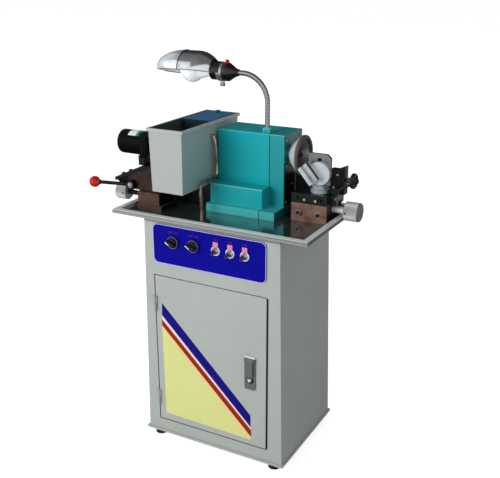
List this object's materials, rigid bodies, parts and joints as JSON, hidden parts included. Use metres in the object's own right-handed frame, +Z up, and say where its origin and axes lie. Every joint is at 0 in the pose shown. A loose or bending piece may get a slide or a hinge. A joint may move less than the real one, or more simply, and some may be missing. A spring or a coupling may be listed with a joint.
{
  "type": "sharpening machine",
  "caption": "Cabinet-base tool sharpening machine: belt-driven flared cup wheel, coolant tank, gooseneck lamp, left powered work head and right tilting vise.",
  "frame": {"origin": "on the floor under the middle of the whole machine's box", "axes": "+X to the machine's right seen from the front, +Y to the back, +Z up"},
  "size_m": [0.6752, 0.3173, 0.9651],
  "materials": {
    "cabinet_paint": "satin grey paint",
    "tray_paint": "gloss grey paint, wet floor",
    "panel_blue": "printed satin blue",
    "teal_paint": "teal machine enamel",
    "foot_rubber": "moulded black rubber",
    "belt_rubber": "black belt",
    "black_plastic": "moulded black",
    "black_phenolic": "moulded black phenolic",
    "red_plastic": "gloss red",
    "chrome": "polished chrome",
    "steel": "ground steel",
    "dark_steel": "blackened steel",
    "knob_aluminium": "knurled aluminium",
    "wheel_aluminium": "turned aluminium",
    "abrasive": "resin bonded grit",
    "copper": "bent copper tube",
    "tank_grey": "grey paint",
    "pump_blue": "blue paint",
    "riser_brown": "brown primer",
    "slide_iron": "oiled dark iron",
    "motor_paint": "dark machine paint",
    "motor_black": "black paint",
    "bulb_glass": "frosted glass"
  },
  "bodies": {
    "frame": {"rubber_feet": "foot_rubber", "base_plate": "cabinet_paint", "cabinet_wrap": "cabinet_paint", "cable_gland": "black_plastic", "cabinet_front": "cabinet_paint", "control_panel": "panel_blue", "selector_bezels": "black_plastic", "toggle_bushings": "chrome", "hinge_frame_halves": "steel", "drip_tray": "tray_paint", "headstock_base": "teal_paint", "headstock_casing": "teal_paint", "bearing_stand": "teal_paint", "spindle_bearings": "steel", "drive_belt": "belt_rubber", "main_motor": "motor_paint", "coolant_tank": "tank_grey", "coolant_pump": "pump_blue", "tank_support": "teal_paint", "coolant_pipe": "copper", "lamp_foot": "chrome", "left_riser": "riser_brown", "right_riser": "riser_brown"},
    "door": {"door_panel": "cabinet_paint", "hinge_door_halves": "steel", "lock_plate": "chrome"},
    "lock_handle": {"lock_handle": "chrome"},
    "lock_button": {"lock_button": "chrome"},
    "selector_left": {"selector_knob_left": "black_plastic"},
    "selector_right": {"selector_knob_right": "black_plastic"},
    "toggle_left": {"toggle_lever_left": "chrome"},
    "toggle_middle": {"toggle_lever_middle": "chrome"},
    "toggle_right": {"toggle_lever_right": "chrome"},
    "spindle": {"spindle": "steel", "spindle_pulley": "wheel_aluminium", "cup_wheel_body": "wheel_aluminium", "cup_wheel_rim": "abrasive", "wheel_screw": "dark_steel"},
    "motor_shaft": {"motor_pulley": "steel"},
    "lamp_arm": {"gooseneck": "chrome"},
    "lamp_head": {"lamp_holder": "black_phenolic", "lamp_bulb": "bulb_glass"},
    "lamp_shade": {"shade_clamp": "chrome", "lamp_hood": "chrome"},
    "lamp_switch": {"lamp_switch": "red_plastic"},
    "left_knob": {"left_feed_knob": "knob_aluminium"},
    "left_carriage": {"left_carriage": "steel", "gear_motor": "motor_black"},
    "feed_lever": {"feed_lever": "steel", "lever_ball": "red_plastic"},
    "work_arbor": {"work_arbor": "steel"},
    "right_knob": {"right_feed_knob": "knob_aluminium"},
    "right_slide": {"right_slide": "slide_iron"},
    "swivel": {"swivel_table": "chrome", "angle_plate": "steel", "index_bracket": "black_plastic"},
    "vise": {"vise_head": "steel"},
    "vise_jaw": {"vise_jaw": "steel"},
    "index_knob": {"index_knob": "black_plastic"},
    "index_lever": {"index_lever": "dark_steel"}
  },
  "joints": [
    {"name": "door_swing", "type": "hinge", "parent": "frame", "child": "door", "pos_m": [-0.1201, -0.1389, 0.2501], "axis": [0, 0, -1], "range_deg": [0, 110]},
    {"name": "lock_handle_lift", "type": "hinge", "parent": "door", "child": "lock_handle", "pos_m": [0.14365, -0.1406, 0.2857], "axis": [-1, 0, 0], "range_deg": [0, 35]},
    {"name": "lock_button_press", "type": "slide", "parent": "door", "child": "lock_button", "axis": [0, 1, 0], "range_m": [0, 0.0025], "stiffness_N_per_m": 300},
    {"name": "selector_left_turn", "type": "hinge", "parent": "frame", "child": "selector_left", "pos_m": [-0.05955, -0.1369, 0.5438], "axis": [0, 1, 0], "range_deg": [-45, 45]},
    {"name": "selector_right_turn", "type": "hinge", "parent": "frame", "child": "selector_right", "pos_m": [-0.00405, -0.1369, 0.5438], "axis": [0, 1, 0], "range_deg": [-45, 45]},
    {"name": "toggle_left_flip", "type": "hinge", "parent": "frame", "child": "toggle_left", "pos_m": [0.05455, -0.1419, 0.5415], "axis": [-1, 0, 0], "range_deg": [0, 24]},
    {"name": "toggle_middle_flip", "type": "hinge", "parent": "frame", "child": "toggle_middle", "pos_m": [0.09255, -0.1419, 0.5415], "axis": [-1, 0, 0], "range_deg": [0, 24]},
    {"name": "toggle_right_flip", "type": "hinge", "parent": "frame", "child": "toggle_right", "pos_m": [0.13055, -0.1419, 0.5415], "axis": [-1, 0, 0], "range_deg": [0, 24]},
    {"name": "spindle_turn", "type": "hinge", "parent": "frame", "child": "spindle", "pos_m": [0.15435, 0.059, 0.739], "axis": [1, 0, 0], "continuous": true},
    {"name": "motor_turn", "type": "hinge", "parent": "frame", "child": "motor_shaft", "pos_m": [0.06215, 0.059, 0.095], "axis": [1, 0, 0], "continuous": true},
    {"name": "lamp_swing", "type": "hinge", "parent": "frame", "child": "lamp_arm", "pos_m": [0.09215, 0.047, 0.7976], "axis": [0, 0, 1], "range_deg": [-45, 45]},
    {"name": "lamp_bend", "type": "hinge", "parent": "lamp_arm", "child": "lamp_head", "pos_m": [0.06715, 0.047, 0.89], "axis": [0, 1, 0], "range_deg": [-8, 20], "deforming": ["gooseneck"]},
    {"name": "shade_turn", "type": "hinge", "parent": "lamp_head", "child": "lamp_shade", "pos_m": [-0.02805, 0.047, 0.9196], "axis": [1, 0, 0], "range_deg": [-60, 60]},
    {"name": "lamp_switch_press", "type": "slide", "parent": "lamp_head", "child": "lamp_switch", "axis": [0, 0, -1], "range_m": [0, 0.0015], "stiffness_N_per_m": 300},
    {"name": "left_knob_turn", "type": "hinge", "parent": "frame", "child": "left_knob", "pos_m": [-0.23785, -0.0604, 0.624], "axis": [1, 0, 0], "range_deg": [-901, 541]},
    {"name": "left_feed", "type": "slide", "parent": "frame", "child": "left_carriage", "axis": [1, 0, 0], "range_m": [-0.01, 0.006]},
    {"name": "feed_lever_swing", "type": "hinge", "parent": "left_carriage", "child": "feed_lever", "pos_m": [-0.20985, -0.0871, 0.6522], "axis": [0, 1, 0], "range_deg": [-10, 25]},
    {"name": "work_arbor_turn", "type": "hinge", "parent": "left_carriage", "child": "work_arbor", "pos_m": [-0.17105, -0.0704, 0.7552], "axis": [1, 0, 0], "continuous": true},
    {"name": "right_knob_turn", "type": "hinge", "parent": "frame", "child": "right_knob", "pos_m": [0.29465, 0.0436, 0.624], "axis": [1, 0, 0], "range_deg": [-361, 721]},
    {"name": "right_feed", "type": "slide", "parent": "frame", "child": "right_slide", "axis": [1, 0, 0], "range_m": [-0.004, 0.008]},
    {"name": "swivel_turn", "type": "hinge", "parent": "right_slide", "child": "swivel", "pos_m": [0.23615, 0.0346, 0.6624], "axis": [0, 0, 1], "range_deg": [-12, 12]},
    {"name": "vise_tilt", "type": "hinge", "parent": "swivel", "child": "vise", "pos_m": [0.24015, 0.0124, 0.7114], "axis": [0, 1, 0], "range_deg": [-20, 20]},
    {"name": "vise_close", "type": "slide", "parent": "vise", "child": "vise_jaw", "axis": [-0.7547, 0, -0.6561], "range_m": [0, 0.005]},
    {"name": "index_knob_turn", "type": "hinge", "parent": "swivel", "child": "index_knob", "pos_m": [0.29865, 0.0366, 0.6984], "axis": [1, 0, 0], "range_deg": [-180, 180]},
    {"name": "index_lever_swing", "type": "hinge", "parent": "swivel", "child": "index_lever", "pos_m": [0.28365, 0.0129, 0.6754], "axis": [0, 1, 0], "range_deg": [-15, 15]}
  ],
  "couplings": [
    {"joint": "motor_turn", "follows": "spindle_turn", "ratio": 0.68},
    {"joint": "left_knob_turn", "follows": "left_feed", "rad_per_m": 1570.8},
    {"joint": "right_knob_turn", "follows": "right_feed", "rad_per_m": 1570.8}
  ]
}
